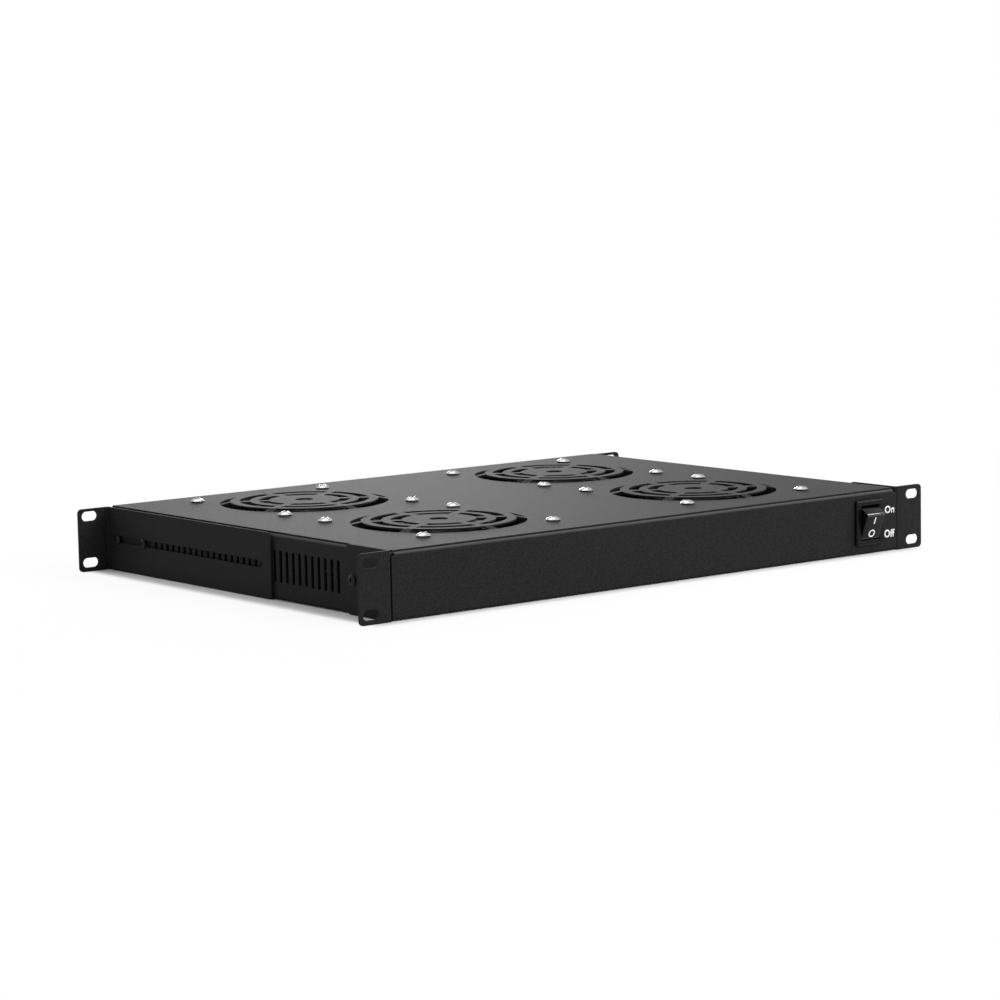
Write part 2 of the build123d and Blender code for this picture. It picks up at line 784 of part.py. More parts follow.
main()
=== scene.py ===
"""Looks of the rack fan tray: black powder coat, bright screws, a rocker switch and its print.

The frame is that of the solids, in metres: +X right seen from the front, +Y to the rear, +Z up.
Sizes of the tray are given in millimetres, and MM turns them into metres.
"""
import math
import random

import bmesh
import bpy
from mathutils import Matrix, Vector


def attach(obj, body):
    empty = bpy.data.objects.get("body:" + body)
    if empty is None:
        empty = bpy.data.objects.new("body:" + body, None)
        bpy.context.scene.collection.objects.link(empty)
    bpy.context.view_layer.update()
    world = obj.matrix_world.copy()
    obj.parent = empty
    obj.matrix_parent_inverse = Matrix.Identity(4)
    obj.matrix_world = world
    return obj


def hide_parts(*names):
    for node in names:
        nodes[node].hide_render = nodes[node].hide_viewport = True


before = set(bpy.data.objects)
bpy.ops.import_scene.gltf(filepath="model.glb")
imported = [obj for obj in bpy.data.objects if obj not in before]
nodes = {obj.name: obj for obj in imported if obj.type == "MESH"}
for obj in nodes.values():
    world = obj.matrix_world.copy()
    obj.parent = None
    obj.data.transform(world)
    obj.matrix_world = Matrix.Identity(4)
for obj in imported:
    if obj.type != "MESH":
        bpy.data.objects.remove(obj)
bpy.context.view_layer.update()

MM = 0.001

# Sizes shared with the solids, in millimetres, and the rocker's tilt in degrees
half_case = 216.5
case_front = -1.6
case_rear = 321.5
cover_top = 21.6
floor_level = -22.0
ear_sheet = 1.6
bracket_gap = 0.3
fan_centres = [(x, y) for y in (89.25, 239.95) for x in (-110.65, 110.65)]
fan_hole_reach = 52.5
ear_screw_ys = (12.8, 36.8)
bracket_screw_ys = (274.7, 306.7)
cover_screw_places = [(-100.0, 305.5), (100.0, 305.5)]
switch_x = 189.2
inlet_x = 189.2
inlet_face = 324.5
inlet_screw_reach = 20.0
rocker_tilt = 20.0
rocker_pivot = (switch_x, 0.2, 0.0)
rocker_half_face = 9.5
rocker_half_base = 11.6
rocker_half_width = 8.6
rocker_front = 7.9
rocker_back = 0.5

# Sizes of the scene's own detail, in millimetres
rocker_dish = 0.35
rocker_lip = 1.3
rocker_corner = 0.5
pin_root = 1.5
pin_tip = 1.4
pin_length = 1.5
pin_centre = 9.1
panel_ink = 0.04
mark_ink = 0.05
merge_gap = 0.002
# Heights of a painted highlight: the band along the chassis's upper bends that its coat makes
# lighter
bend_highlight_foot = 18.7
bend_highlight_top = 20.3
shadow_margin = 9.0

# The rocker's face attribute that is 1 where fingers polish it
rubbed_faces = "rubbed"


def new_material(name):
    """A node material with its tree and its shader."""
    material = bpy.data.materials.new(name)
    material.use_nodes = True
    tree = material.node_tree
    shader = tree.nodes["Principled BSDF"]
    return material, tree, shader


def add_node(tree, kind, **values):
    """A shader node with its input sockets set by name."""
    node = tree.nodes.new(kind)
    for name, value in values.items():
        node.inputs[name].default_value = value
    return node


def combine(tree, operation, first, second):
    """Two values taken together by a math operation."""
    node = tree.nodes.new("ShaderNodeMath")
    node.operation = operation
    tree.links.new(first, node.inputs[0])
    tree.links.new(second, node.inputs[1])
    return node.outputs["Value"]


def object_noise(tree, scale, detail):
    """Noise that stays with the piece, at so many features a metre."""
    place = add_node(tree, "ShaderNodeTexCoord")
    noise = add_node(tree, "ShaderNodeTexNoise", Scale=scale, Detail=detail)
    tree.links.new(place.outputs["Object"], noise.inputs["Vector"])
    return noise.outputs["Fac"]


def ramp(tree, factor, low, high, low_at=0.0, high_at=1.0):
    """A blend between two greys or colours."""
    node = tree.nodes.new("ShaderNodeValToRGB")
    ends = node.color_ramp.elements
    ends[0].position, ends[1].position = low_at, high_at
    ends[0].color = (*low, 1.0) if isinstance(low, tuple) else (low, low, low, 1.0)
    ends[1].color = (*high, 1.0) if isinstance(high, tuple) else (high, high, high, 1.0)
    tree.links.new(factor, node.inputs["Fac"])
    return node.outputs["Color"]


def mix_colours(tree, factor, first, second):
    """The first colour where the factor is 0 and the second where it is 1."""
    node = tree.nodes.new("ShaderNodeMix")
    node.data_type = "RGBA"
    tree.links.new(factor, node.inputs["Factor"])
    tree.links.new(first, node.inputs["A"])
    tree.links.new(second, node.inputs["B"])
    return node.outputs["Result"]


def rounded_normal(tree, radius):
    """Normals that round off sharp edges, to a radius in millimetres, so that they catch light."""
    node = tree.nodes.new("ShaderNodeBevel")
    node.samples = 6
    node.inputs["Radius"].default_value = radius * MM
    return node.outputs["Normal"]


def edge_mask(tree, rounded, low_at, high_at):
    """White along the edges that the rounded normals soften, and black on flat faces."""
    geometry = tree.nodes.new("ShaderNodeNewGeometry")
    dot = tree.nodes.new("ShaderNodeVectorMath")
    dot.operation = "DOT_PRODUCT"
    tree.links.new(rounded, dot.inputs[0])
    tree.links.new(geometry.outputs["True Normal"], dot.inputs[1])
    return ramp(tree, dot.outputs["Value"], 1.0, 0.0, low_at, high_at)


def bump(tree, height, strength, distance, normal=None):
    """Fine relief, as high as a distance in millimetres, on top of normals that may be given."""
    node = add_node(tree, "ShaderNodeBump", Strength=strength, Distance=distance * MM)
    tree.links.new(height, node.inputs["Height"])
    if normal is not None:
        tree.links.new(normal, node.inputs["Normal"])
    return node.outputs["Normal"]


def height_mask(tree, low, high):
    """Black below one height of the piece and white above another, in millimetres."""
    place = add_node(tree, "ShaderNodeTexCoord")
    sides = tree.nodes.new("ShaderNodeSeparateXYZ")
    tree.links.new(place.outputs["Object"], sides.inputs["Vector"])
    band = tree.nodes.new("ShaderNodeMapRange")
    band.inputs["From Min"].default_value = low * MM
    band.inputs["From Max"].default_value = high * MM
    tree.links.new(sides.outputs["Z"], band.inputs["Value"])
    return band.outputs["Result"]


def powder_coat(name, dark, light, worn, painted_bend_highlight=None):
    """Fine orange-peel powder coat on steel, a little thinner and lighter along its edges.

    With a grey for the bend highlight, it also gets a painted highlight: a lighter band along the
    upper bends, which stands in for the light they catch.
    """
    material, tree, shader = new_material(name)
    rounded = rounded_normal(tree, radius=0.45)
    grain = object_noise(tree, scale=1100.0, detail=3.0)
    cloud = object_noise(tree, scale=22.0, detail=2.0)
    wear = object_noise(tree, scale=160.0, detail=3.0)
    dimples = object_noise(tree, scale=420.0, detail=1.0)
    fresh = ramp(tree, grain, dark, light, low_at=0.35, high_at=0.65)
    dusky = ramp(tree, grain, dark * 0.8, light * 0.9, low_at=0.35, high_at=0.65)
    coat = mix_colours(tree, cloud, fresh, dusky)
    if painted_bend_highlight is not None:
        # Painted highlight: the coat is lighter between two heights, along the upper bends, in
        # place of the light they catch
        upper = height_mask(tree, bend_highlight_foot, bend_highlight_top)
        coat = mix_colours(tree, upper, coat, ramp(tree, grain, painted_bend_highlight * 0.8, painted_bend_highlight * 1.2))
    edge = edge_mask(tree, rounded, low_at=0.75, high_at=0.985)
    patches = ramp(tree, wear, 0.15, 0.8, low_at=0.35, high_at=0.75)
    thin = combine(tree, "MULTIPLY", edge, patches)
    coat = mix_colours(tree, thin, coat, ramp(tree, grain, worn * 0.8, worn))
    tree.links.new(coat, shader.inputs["Base Color"])
    shader.inputs["Specular IOR Level"].default_value = 0.1
    rough = ramp(tree, grain, 0.62, 0.82, low_at=0.3, high_at=0.7)
    tree.links.new(rough, shader.inputs["Roughness"])
    peel = bump(tree, dimples, strength=0.4, distance=0.12, normal=rounded)
    relief = bump(tree, grain, strength=0.5, distance=0.1, normal=peel)
    tree.links.new(relief, shader.inputs["Normal"])
    return material


def plated_metal(name, colour, rough, edge):
    """Plated or bare metal with faint cloudy variation and fine tool marks."""
    material, tree, shader = new_material(name)
    shader.inputs["Metallic"].default_value = 1.0
    cloud = object_noise(tree, scale=420.0, detail=3.0)
    marks = object_noise(tree, scale=2600.0, detail=2.0)
    dull = tuple(0.82 * c for c in colour)
    tint = ramp(tree, cloud, dull, colour, low_at=0.3, high_at=0.65)
    tree.links.new(tint, shader.inputs["Base Color"])
    tree.links.new(ramp(tree, marks, *rough, low_at=0.25, high_at=0.75), shader.inputs["Roughness"])
    relief = bump(tree, marks, strength=0.06, distance=0.02, normal=rounded_normal(tree, edge))
    tree.links.new(relief, shader.inputs["Normal"])
    return material


def moulded_plastic(name, tone, rough, grain_scale, relief, edge, gloss=0.5, polish=None):
    """Moulded plastic or black oxide with a fine grain, glossier where fingers polish it."""
    material, tree, shader = new_material(name)
    shader.inputs["Specular IOR Level"].default_value = gloss
    if polish is not None:
        rubbed = tree.nodes.new("ShaderNodeAttribute")
        rubbed.attribute_name = rubbed_faces
        shine = ramp(tree, rubbed.outputs["Fac"], gloss, polish)
        tree.links.new(shine, shader.inputs["Specular IOR Level"])
    grain = object_noise(tree, grain_scale, detail=2.0)
    cloud = object_noise(tree, scale=60.0, detail=2.0)
    tree.links.new(ramp(tree, cloud, *tone, low_at=0.3, high_at=0.7), shader.inputs["Base Color"])
    tree.links.new(ramp(tree, grain, *rough, low_at=0.25, high_at=0.75), shader.inputs["Roughness"])
    texture = bump(tree, grain, relief, distance=0.05, normal=rounded_normal(tree, edge))
    tree.links.new(texture, shader.inputs["Normal"])
    return material


def striped_metal(name, dark, light, pitch, metallic, roughness):
    """Laminations or wound wire: fine level lines at a pitch in millimetres."""
    material, tree, shader = new_material(name)
    shader.inputs["Metallic"].default_value = metallic
    shader.inputs["Roughness"].default_value = roughness
    place = add_node(tree, "ShaderNodeTexCoord")
    scale = math.pi / (10 * (pitch * MM))
    wave = add_node(tree, "ShaderNodeTexWave", Scale=scale, Distortion=0.4, Detail=1.0)
    wave.bands_direction = "Z"
    tree.links.new(place.outputs["Object"], wave.inputs["Vector"])
    lines = wave.outputs["Fac"]
    tree.links.new(ramp(tree, lines, dark, light), shader.inputs["Base Color"])
    tree.links.new(bump(tree, lines, strength=0.6, distance=0.1), shader.inputs["Normal"])
    return material


def print_ink(name):
    """White screen print, slightly uneven."""
    material, tree, shader = new_material(name)
    speck = object_noise(tree, scale=2600.0, detail=2.0)
    white = ramp(tree, speck, 0.72, 0.9, low_at=0.3, high_at=0.6)
    tree.links.new(white, shader.inputs["Base Color"])
    tree.links.new(ramp(tree, speck, 0.5, 0.65), shader.inputs["Roughness"])
    return material


case_coat = powder_coat("case_coat", dark=0.0065, light=0.02, worn=0.05)
# Chassis coat with a painted highlight along its upper bends
chassis_coat_and_bend_highlight = powder_coat("chassis_coat_and_bend_highlight", dark=0.0065, light=0.02, worn=0.05, painted_bend_highlight=0.08)
bracket_coat = powder_coat("bracket_coat", dark=0.006, light=0.0185, worn=0.045)

bright_plate = plated_metal("bright_plate", (0.4, 0.4, 0.39), rough=(0.2, 0.32), edge=0.12)
zinc_plate = plated_metal("zinc_plate", (0.55, 0.56, 0.57), rough=(0.3, 0.45), edge=0.15)
ground_steel = plated_metal("ground_steel", (0.62, 0.62, 0.62), rough=(0.16, 0.28), edge=0.1)
bronze = plated_metal("sintered_bronze", (0.55, 0.36, 0.16), rough=(0.4, 0.55), edge=0.1)
nickel_brass = plated_metal("nickel_brass", (0.72, 0.66, 0.5), rough=(0.2, 0.34), edge=0.12)

black_oxide = moulded_plastic(
    "black_oxide", tone=(0.006, 0.012), rough=(0.36, 0.5),
    grain_scale=1400.0, relief=0.12, edge=0.12, gloss=0.15,
)
matte_oxide = moulded_plastic(
    "matte_oxide", tone=(0.004, 0.008), rough=(0.6, 0.75),
    grain_scale=1400.0, relief=0.12, edge=0.12, gloss=0.03,
)
fan_casting = moulded_plastic(
    "fan_casting", tone=(0.005, 0.009), rough=(0.46, 0.62),
    grain_scale=900.0, relief=0.25, edge=0.5, gloss=0.05,
)
fan_plastic = moulded_plastic(
    "fan_plastic", tone=(0.004, 0.007), rough=(0.4, 0.52),
    grain_scale=1500.0, relief=0.08, edge=0.3, gloss=0.05,
)
switch_plastic = moulded_plastic(
    "switch_plastic", tone=(0.003, 0.005), rough=(0.28, 0.4),
    grain_scale=1800.0, relief=0.06, edge=0.35, gloss=0.12,
)
rocker_plastic = moulded_plastic(
    "rocker_plastic", tone=(0.002, 0.004), rough=(0.1, 0.16),
    grain_scale=1800.0, relief=0.03, edge=0.2, gloss=0.15, polish=0.75,
)
inlet_plastic = moulded_plastic(
    "inlet_plastic", tone=(0.01, 0.016), rough=(0.4, 0.52),
    grain_scale=1300.0, relief=0.12, edge=0.35,
)
block_plastic = moulded_plastic(
    "block_plastic", tone=(0.62, 0.7), rough=(0.38, 0.5),
    grain_scale=1100.0, relief=0.08, edge=0.3,
)
flex_sheath = moulded_plastic(
    "flex_sheath", tone=(0.012, 0.018), rough=(0.45, 0.58),
    grain_scale=800.0, relief=0.12, edge=0.8,
)

core_laminations = striped_metal(
    "core_laminations", dark=0.25, light=0.4, pitch=0.5, metallic=1.0, roughness=0.45,
)
copper_winding = striped_metal(
    "copper_winding", dark=(0.36, 0.12, 0.045), light=(0.62, 0.26, 0.1),
    pitch=0.35, metallic=0.8, roughness=0.35,
)
white_ink = print_ink("white_ink")

node_materials = {
    "chassis": chassis_coat_and_bend_highlight, "top_cover": case_coat, "bottom_cover": case_coat,
    "front_ear_left": case_coat, "front_ear_right": case_coat,
    "rear_bracket_left": bracket_coat, "rear_bracket_right": bracket_coat,
    "side_nuts": zinc_plate,
    "switch_housing": switch_plastic, "switch_terminals": nickel_brass,
    "power_inlet": inlet_plastic, "inlet_pins": nickel_brass,
    "terminal_block": block_plastic, "power_cable": flex_sheath, "feed_cable": flex_sheath,
}
for number in range(1, len(fan_centres) + 1):
    node_materials.update({
        f"fan_{number}_frame": fan_casting, f"fan_{number}_impeller": fan_plastic,
        f"fan_{number}_shaft": ground_steel, f"fan_{number}_bearing": bronze,
        f"fan_{number}_stator": core_laminations, f"fan_{number}_coils": copper_winding,
        f"fan_{number}_cable": flex_sheath,
    })
for name, material in node_materials.items():
    for holder in nodes[name].material_slots:
        holder.material = material


def place_piece(name, mesh, body, material):
    """Links a mesh as a named piece that rides on a body."""
    piece = bpy.data.objects.new(name, mesh)
    bpy.context.scene.collection.objects.link(piece)
    mesh.materials.clear()
    mesh.materials.append(material)
    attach(piece, body)
    return piece


def smooth(mesh, angle):
    """Smooth shading that keeps edges above an angle in degrees sharp."""
    mesh.shade_smooth()
    mesh.set_sharp_from_angle(angle=math.radians(angle))


def to_mesh(shape, name):
    """The mesh of a finished shape, which is freed."""
    mesh = bpy.data.meshes.new(name)
    shape.to_mesh(mesh)
    shape.free()
    return mesh


def at(x, y, z):
    """A move, in millimetres."""
    return Matrix.Translation(Vector((x, y, z)) * MM)


def turned(profile, segments):
    """A closed solid turned from (radius, height) points in millimetres, from top to foot."""
    shape = bmesh.new()
    points = [shape.verts.new((r * MM, 0, z * MM)) for r, z in profile]
    edges = [shape.edges.new(pair) for pair in zip(points, points[1:])]
    bmesh.ops.spin(
        shape, geom=points + edges, cent=(0, 0, 0), axis=(0, 0, 1),
        angle=math.tau, steps=segments, use_merge=True,
    )
    bmesh.ops.remove_doubles(shape, verts=shape.verts, dist=merge_gap * MM)
    bmesh.ops.recalc_face_normals(shape, faces=shape.faces)
    return to_mesh(shape, "turned")


def cross_tool(reach, width, top, depth):
    """The tapered cross that a driver fits in a screw head, down to a depth below its top."""
    clearance = 1.0
    mouth_reach, foot_reach = 1.05 * reach, 0.42 * reach
    foot_width = 0.8 * width
    shape = bmesh.new()
    rings = []
    for level, arm, half in (
        (top + clearance, mouth_reach, width / 2), (top - depth, foot_reach, foot_width / 2),
    ):
        corners = [
            (half, half), (half, arm), (-half, arm), (-half, half), (-arm, half), (-arm, -half),
            (-half, -half), (-half, -arm), (half, -arm), (half, -half), (arm, -half), (arm, half),
        ]
        rings.append([shape.verts.new((x * MM, y * MM, level * MM)) for x, y in corners])
    upper, lower = rings
    shape.faces.new(upper)
    shape.faces.new(reversed(lower))
    for here in range(len(upper)):
        after = (here + 1) % len(upper)
        shape.faces.new((upper[here], upper[after], lower[after], lower[here]))
    bmesh.ops.recalc_face_normals(shape, faces=shape.faces)
    return to_mesh(shape, "cross")


def joined(mesh):
    """Merges the mesh's corners that coincide, and turns all its faces outward."""
    shape = bmesh.new()
    shape.from_mesh(mesh)
    bmesh.ops.remove_doubles(shape, verts=shape.verts, dist=merge_gap * MM)
    bmesh.ops.recalc_face_normals(shape, faces=shape.faces)
    shape.to_mesh(mesh)
    shape.free()
    return mesh


def cut(mesh, tool):
    """The mesh with the tool taken out of it."""
    solid = bpy.data.objects.new("solid", mesh)
    cutter = bpy.data.objects.new("cutter", tool)
    for item in (solid, cutter):
        bpy.context.scene.collection.objects.link(item)
    modifier = solid.modifiers.new("recess", "BOOLEAN")
    modifier.object = cutter
    modifier.solver = "EXACT"
    scene_state = bpy.context.evaluated_depsgraph_get()
    result = bpy.data.meshes.new_from_object(solid.evaluated_get(scene_state))
    for item in (solid, cutter):
        bpy.data.objects.remove(item)
    return joined(result)


def dome_profile(radius, rim, height, shank, length):
    """Half outline of a domed screw, from the top of its head to its point."""
    steps = 9
    undercut, point = 1.1, 0.6
    rise = height - rim
    sphere = (radius ** 2 + rise ** 2) / (2 * rise)
    points = []
    for step in range(steps + 1):
        r = radius * step / steps
        points.append((r, height - sphere + math.sqrt(sphere ** 2 - r ** 2)))
    points += [(radius, rim * 0.7), (radius - undercut, 0.0), (shank, 0.0)]
    points += [(shank, -length + point), (shank * 0.55, -length), (0.0, -length)]
    return points


def flush_profile(radius, sink, shank, length):
    """Half outline of a countersunk screw with its head level with z = 0."""
    edge_in, edge_down, point = 0.12, 0.1, 0.4
    return [
        (0.0, 0.0), (radius - edge_in, 0.0), (radius, -edge_down), (shank, -sink),
        (shank, -length + point), (shank * 0.6, -length), (0.0, -length),
    ]


def copies(mesh, places):
    """One mesh that holds a copy at each placement."""
    group = bmesh.new()
    for place in places:
        start = len(group.verts)
        group.from_mesh(mesh)
        group.verts.ensure_lookup_table()
        bmesh.ops.transform(group, matrix=place, verts=group.verts[start:])
    return to_mesh(group, "copies")


turns = random.Random(7)


def quarter_turn():
    """However far the driver left this screw."""
    return Matrix.Rotation(turns.uniform(0, math.pi / 2), 4, "Z")


def screw_set(name, node, mesh, places, material):
    """Detailed screws in place of a node of plain ones."""
    smooth(mesh, angle=35.0)
    piece = place_piece(name, copies(mesh, places), "tray", material)
    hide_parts(node)


fan_head = 2.8
fan_screw = cut(
    turned(dome_profile(radius=4.8, rim=0.8, height=fan_head, shank=1.9, length=5.6), segments=40),
    cross_tool(reach=3.1, width=1.3, top=fan_head, depth=2.2),
)
both_ways = (-fan_hole_reach, fan_hole_reach)
fan_corners = [(dx, dy) for dx in both_ways for dy in both_ways]
fan_screw_places = [
    at(x + dx, y + dy, cover_top) @ quarter_turn() for x, y in fan_centres for dx, dy in fan_corners
]
screw_set("guard_screws", "fan_screws", fan_screw, fan_screw_places, bright_plate)


def side_places(seat, ys):
    """Placements on both side walls, with the head outward at x = seat."""
    return [
        at(side * seat, y, 0) @ Matrix.Rotation(side * math.pi / 2, 4, "Y") @ quarter_turn()
        for side in (-1, 1) for y in ys
    ]


def side_screw(head, length):
    """A black pan-head screw with a cross recess."""
    height = 2.0
    return cut(
        turned(dome_profile(head, rim=1.0, height=height, shank=1.7, length=length), segments=32),
        cross_tool(reach=0.76 * head, width=0.36 * head, top=height, depth=1.4),
    )


ear_screw = side_screw(head=3.6, length=5.7)
ear_places = side_places(half_case + ear_sheet, ear_screw_ys)
screw_set("ear_screws", "front_ear_screws", ear_screw, ear_places, black_oxide)

guide_screw = side_screw(head=3.0, length=6.3)
guide_places = side_places(half_case + ear_sheet + 2 * bracket_gap, bracket_screw_ys)
screw_set("guide_screws", "bracket_screws", guide_screw, guide_places, black_oxide)

flush_screw = cut(
    turned(flush_profile(radius=2.7, sink=1.15, shank=1.4, length=4.0), segments=32),
    cross_tool(reach=1.5, width=0.65, top=0.0, depth=0.9),
)
lid_places = [at(x, y, cover_top) @ quarter_turn() for x, y in cover_screw_places]
screw_set("lid_screws", "cover_screws", flush_screw, lid_places, matte_oxide)

rearward = Matrix.Rotation(-math.pi / 2, 4, "X")
socket_places = [
    at(inlet_x + x, inlet_face, 0) @ rearward @ quarter_turn()
    for x in (-inlet_screw_reach, inlet_screw_reach)
]
screw_set("socket_screws", "inlet_screws", flush_screw, socket_places, black_oxide)


def rocker_place():
    """From the rocker's own frame, face toward -Y, to where it rests."""
    return at(*rocker_pivot) @ Matrix.Rotation(math.radians(rocker_tilt), 4, "X")


def is_lip(edge):
    """Whether a sharp edge of the rocker runs along the upper or the lower end of its face."""
    tolerance = 0.1
    at_end = all(abs(abs(v.co.z) - rocker_half_face * MM) < tolerance * MM for v in edge.verts)
    return at_end and edge.calc_length() > rocker_half_width * MM


def rocker_mesh():
    """The rocker with a slightly dished face, soft edges and its pivot pins."""
    shape = bmesh.new()
    rubbed = shape.faces.layers.float.new(rubbed_faces)
    steps = 8
    outline = [
        (
            rocker_half_face - 2 * rocker_half_face * step / steps,
            rocker_front - rocker_dish * math.sin(math.pi * step / steps),
        )
        for step in range(steps + 1)
    ]
    outline += [(-rocker_half_base, -rocker_back), (rocker_half_base, -rocker_back)]
    sides = [
        [shape.verts.new((x * MM, -y * MM, z * MM)) for z, y in outline]
        for x in (-rocker_half_width, rocker_half_width)
    ]
    shape.faces.new(sides[0])
    shape.faces.new(reversed(sides[1]))
    for here in range(len(outline)):
        after = (here + 1) % len(outline)
        shape.faces.new((sides[0][here], sides[1][here], sides[1][after], sides[0][after]))
    bmesh.ops.recalc_face_normals(shape, faces=shape.faces)
    sharp_angle = math.radians(30)
    for offset, segments, lips in ((rocker_lip, 6, True), (rocker_corner, 4, False)):
        sharp = [edge for edge in shape.edges if edge.calc_face_angle(0) > sharp_angle]
        if lips:
            sharp = [edge for edge in sharp if is_lip(edge)]
        rounds = bmesh.ops.bevel(
            shape, geom=sharp, offset=offset * MM, segments=segments,
            profile=0.5, affect="EDGES", clamp_overlap=True,
        )
        for facet in rounds["faces"]:
            facet[rubbed] = 1.0 if lips else 0.0
    for side in (-1, 1):
        pin = bmesh.ops.create_cone(
            shape, cap_ends=True, segments=24,
            radius1=pin_root * MM, radius2=pin_tip * MM, depth=pin_length * MM,
            matrix=at(side * pin_centre, 0, 0) @ Matrix.Rotation(side * math.pi / 2, 4, "Y"),
        )
        skin = [face for face in shape.faces if face.verts[0] in pin["verts"]]
        bmesh.ops.recalc_face_normals(shape, faces=skin)
    mesh = to_mesh(shape, "rocker")
    smooth(mesh, angle=40.0)
    mesh.transform(rocker_place())
    return mesh


rocker = place_piece("rocker_cap", rocker_mesh(), "rocker", rocker_plastic)
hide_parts("switch_rocker")


def raised(shape, ink):
    """Gives flat print the thickness of its ink, in millimetres, toward the front."""
    bmesh.ops.remove_doubles(shape, verts=shape.verts, dist=merge_gap * MM)
    skin = bmesh.ops.extrude_face_region(shape, geom=list(shape.faces))
    lifted = [item for item in skin["geom"] if isinstance(item, bmesh.types.BMVert)]
    bmesh.ops.translate(shape, verts=lifted, vec=(0, -ink * MM, 0))
    return to_mesh(shape, "print")


def word_mesh(text):
    """Flat block lettering in the XY plane, a little heavier and wider spaced than the font."""
    curve = bpy.data.curves.new("word", "FONT")
    curve.body = text
    curve.offset = 0.026
    curve.space_character = 1.08
    curve.resolution_u = 6
    letters = bpy.data.objects.new("letters", curve)
    bpy.context.scene.collection.objects.link(letters)
    scene_state = bpy.context.evaluated_depsgraph_get()
    mesh = bpy.data.meshes.new_from_object(letters.evaluated_get(scene_state))
    bpy.data.objects.remove(letters)
    return mesh


def panel_word(text, low, high):
    """Inked lettering that fills a box of the front panel, from its low to its high (x, z)."""
    mesh = word_mesh(text)
    xs = [v.co.x for v in mesh.vertices]
    ys = [v.co.y for v in mesh.vertices]
    wide, tall = max(xs) - min(xs), max(ys) - min(ys)
    for vertex in mesh.vertices:
        along = (vertex.co.x - min(xs)) / wide
        above = (vertex.co.y - min(ys)) / tall
        vertex.co = Vector((
            low[0] + along * (high[0] - low[0]),
            case_front,
            low[1] + above * (high[1] - low[1]),
        )) * MM
    shape = bmesh.new()
    shape.from_mesh(mesh)
    return raised(shape, panel_ink)


for name, text, low, high in (
    ("print_on", "On", (205.7, 4.4), (214.8, 9.5)),
    ("print_off", "Off", (205.2, -12.5), (215.0, -7.0)),
):
    place_piece(name, panel_word(text, low, high), "tray", white_ink)


def face_point(x, z):
    """A point on the rocker's dished face, in the rocker's own frame."""
    dish = rocker_dish * math.cos(math.pi * z / (2 * rocker_half_face))
    return Vector((x, dish - rocker_front, z)) * MM


def on_rocker(shape):
    """A flat mark with its ink, on the rocker where it rests."""
    mesh = joined(raised(shape, mark_ink))
    mesh.transform(rocker_place())
    return mesh


def loop_mark(centre_z, half_wide, half_tall, stroke):
    """An oval ring on the rocker's face."""
    steps = 48
    shape = bmesh.new()
    rings = []
    for inset in (0.0, stroke):
        ring = []
        for step in range(steps):
            turn = math.tau * step / steps
            x = (half_wide - inset) * math.cos(turn)
            z = centre_z + (half_tall - inset) * math.sin(turn)
            ring.append(shape.verts.new(face_point(x, z)))
        rings.append(ring)
    outer, inner = rings
    for here in range(steps):
        after = (here + 1) % steps
        shape.faces.new((outer[here], outer[after], inner[after], inner[here]))
    return on_rocker(shape)


def bar_mark(centre_z, half_wide, half_tall):
    """An upright bar on the rocker's face."""
    steps = 8
    shape = bmesh.new()
    rows = []
    for step in range(steps + 1):
        z = centre_z - half_tall + 2 * half_tall * step / steps
        rows.append([shape.verts.new(face_point(x, z)) for x in (-half_wide, half_wide)])
    for low, high in zip(rows, rows[1:]):
        shape.faces.new((low[0], low[1], high[1], high[0]))
    return on_rocker(shape)


bar = bar_mark(centre_z=4.6, half_wide=0.5, half_tall=2.5)
place_piece("mark_on", bar, "rocker", white_ink)
loop = loop_mark(centre_z=-5.0, half_wide=2.9, half_tall=2.75, stroke=0.9)
place_piece("mark_off", loop, "rocker", white_ink)


def backdrop_rays(tree):
    """1 for rays that should see the white studio: from the camera, in gloss and through glass."""
    path = tree.nodes.new("ShaderNodeLightPath")
    total = path.outputs["Is Camera Ray"]
    for name in ("Is Glossy Ray", "Is Transmission Ray"):
        total = combine(tree, "MAXIMUM", total, path.outputs[name])
    return total


def floor_glow(tree):
    """How white the floor is by itself: not under the tray, nearly beside it, wholly far away."""
    place = add_node(tree, "ShaderNodeTexCoord")
    middle = Vector((0.0, 0.5 * (case_front + case_rear), 0.0)) * MM
    half = Vector((half_case + shadow_margin, 0.5 * (case_rear - case_front), 0.0)) * MM
    away = place.outputs["Object"]
    for operation, value in (("SUBTRACT", middle), ("ABSOLUTE", None), ("SUBTRACT", half)):
        step = tree.nodes.new("ShaderNodeVectorMath")
        step.operation = operation
        tree.links.new(away, step.inputs[0])
        if value is not None:
            step.inputs[1].default_value = value
        away = step.outputs["Vector"]
    sides = tree.nodes.new("ShaderNodeSeparateXYZ")
    tree.links.new(away, sides.inputs["Vector"])
    distance = combine(tree, "MAXIMUM", sides.outputs["X"], sides.outputs["Y"])
    # Metres from the shadow's box
    foot, beside, far = 0.003, 0.012, 0.5
    node = tree.nodes.new("ShaderNodeValToRGB")
    stops = node.color_ramp.elements
    stops[0].position, stops[0].color = foot, (0.0, 0.0, 0.0, 1.0)
    stops[1].position, stops[1].color = beside, (0.9, 0.9, 0.9, 1.0)
    stops.new(far).color = (1.0, 1.0, 1.0, 1.0)
    tree.links.new(distance, node.inputs["Fac"])
    return node.outputs["Color"]


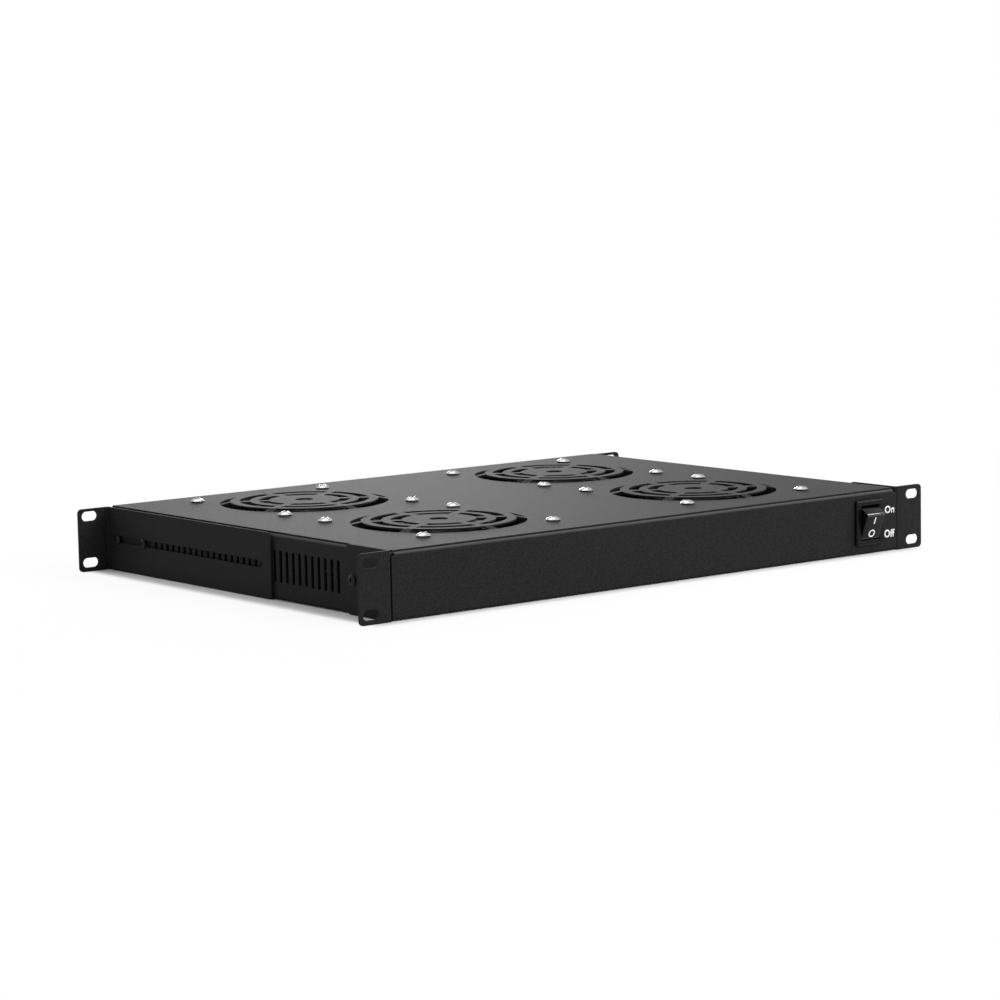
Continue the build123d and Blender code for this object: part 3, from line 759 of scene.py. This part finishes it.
def studio_floor():
    """A wide floor: white from above, with a faint contact shadow, and clear from below."""
    reach = 9.0
    level = floor_level * MM
    corners = [(-reach, -reach), (reach, -reach), (reach, reach), (-reach, reach)]
    mesh = bpy.data.meshes.new("studio_floor")
    mesh.from_pydata([(x, y, level) for x, y in corners], [], [(0, 1, 2, 3)])
    material, tree, shader = new_material("studio_floor")
    shader.inputs["Base Color"].default_value = (0.82, 0.82, 0.82, 1.0)
    shader.inputs["Roughness"].default_value = 0.9
    glow = add_node(tree, "ShaderNodeEmission", Color=(1.0, 1.0, 1.0, 1.0), Strength=1.0)
    clear = tree.nodes.new("ShaderNodeBsdfTransparent")
    geometry = tree.nodes.new("ShaderNodeNewGeometry")
    white_share = combine(tree, "MULTIPLY", backdrop_rays(tree), floor_glow(tree))
    surface = shader.outputs["BSDF"]
    for share, other in (
        (white_share, glow.outputs["Emission"]),
        (geometry.outputs["Backfacing"], clear.outputs["BSDF"]),
    ):
        mix = tree.nodes.new("ShaderNodeMixShader")
        tree.links.new(share, mix.inputs["Fac"])
        tree.links.new(surface, mix.inputs[1])
        tree.links.new(other, mix.inputs[2])
        surface = mix.outputs["Shader"]
    tree.links.new(surface, tree.nodes["Material Output"].inputs["Surface"])
    mesh.materials.append(material)
    floor = bpy.data.objects.new("studio_floor", mesh)
    bpy.context.scene.collection.objects.link(floor)


def studio_world():
    """White where it is seen, and a soft grey fill where it only lights."""
    world = bpy.data.worlds.new("studio")
    world.use_nodes = True
    tree = world.node_tree
    background = tree.nodes["Background"]
    fill, white = 0.35, 1.0
    strength = tree.nodes.new("ShaderNodeMapRange")
    strength.inputs["To Min"].default_value = fill
    strength.inputs["To Max"].default_value = white
    tree.links.new(backdrop_rays(tree), strength.inputs["Value"])
    background.inputs["Color"].default_value = (1.0, 1.0, 1.0, 1.0)
    tree.links.new(strength.outputs["Result"], background.inputs["Strength"])
    bpy.context.scene.world = world


def soft_box(name, place, aim, width, height, power):
    """A soft rectangular lamp that points at a spot, in metres and watts."""
    lamp = bpy.data.lights.new(name, "AREA")
    lamp.shape = "RECTANGLE"
    lamp.size, lamp.size_y = width, height
    lamp.energy = power
    item = bpy.data.objects.new(name, lamp)
    bpy.context.scene.collection.objects.link(item)
    item.location = place
    item.rotation_euler = (Vector(aim) - Vector(place)).to_track_quat("-Z", "Y").to_euler()


studio_floor()
studio_world()
for name, place, aim, width, height, power in (
    ("overhead", (0.1, 0.7, 1.9), (0.0, 0.15, 0.0), 1.8, 1.4, 16.0),
    ("front_right", (0.4, -2.1, 1.1), (0.0, 0.0, 0.0), 1.4, 1.1, 30.0),
    ("right_edge", (1.55, -0.8, 1.55), (0.0, 0.1, 0.0), 0.6, 1.0, 28.0),
    ("rear_sheen", (2.38, 3.62, 0.62), (0.0, 0.16, 0.0), 0.82, 0.8, 46.0),
    ("rear_left", (-1.1, 2.0, 0.7), (-0.2, 0.15, 0.0), 0.6, 0.8, 2.5),
):
    soft_box(name, place, aim, width, height, power)


def studio_camera():
    """The photograph's viewpoint, found by fitting the rack's standard sizes to it."""
    viewpoint = (-1354.83, -1540.42, 286.83)
    azimuth, elevation, roll = (math.radians(v) for v in (-38.965, 7.113, -1.049))
    level = math.cos(elevation)
    back = Vector((math.sin(azimuth) * level, -math.cos(azimuth) * level, math.sin(elevation)))
    right = Vector((math.cos(azimuth), math.sin(azimuth), 0.0))
    up = back.cross(right)
    turned_right = right * math.cos(roll) + up * math.sin(roll)
    turned_up = up * math.cos(roll) - right * math.sin(roll)
    lens = bpy.data.cameras.new("camera")
    lens.sensor_width = 36.0
    lens.lens = 115.0
    lens.shift_x = -0.0272
    lens.shift_y = 0.0047
    lens.clip_start, lens.clip_end = 0.05, 50.0
    camera = bpy.data.objects.new("camera", lens)
    bpy.context.scene.collection.objects.link(camera)
    facing = Matrix((turned_right, turned_up, back)).transposed().to_4x4()
    camera.matrix_world = at(*viewpoint) @ facing
    bpy.context.scene.camera = camera


studio_camera()
bpy.context.scene.view_settings.view_transform = "Standard"
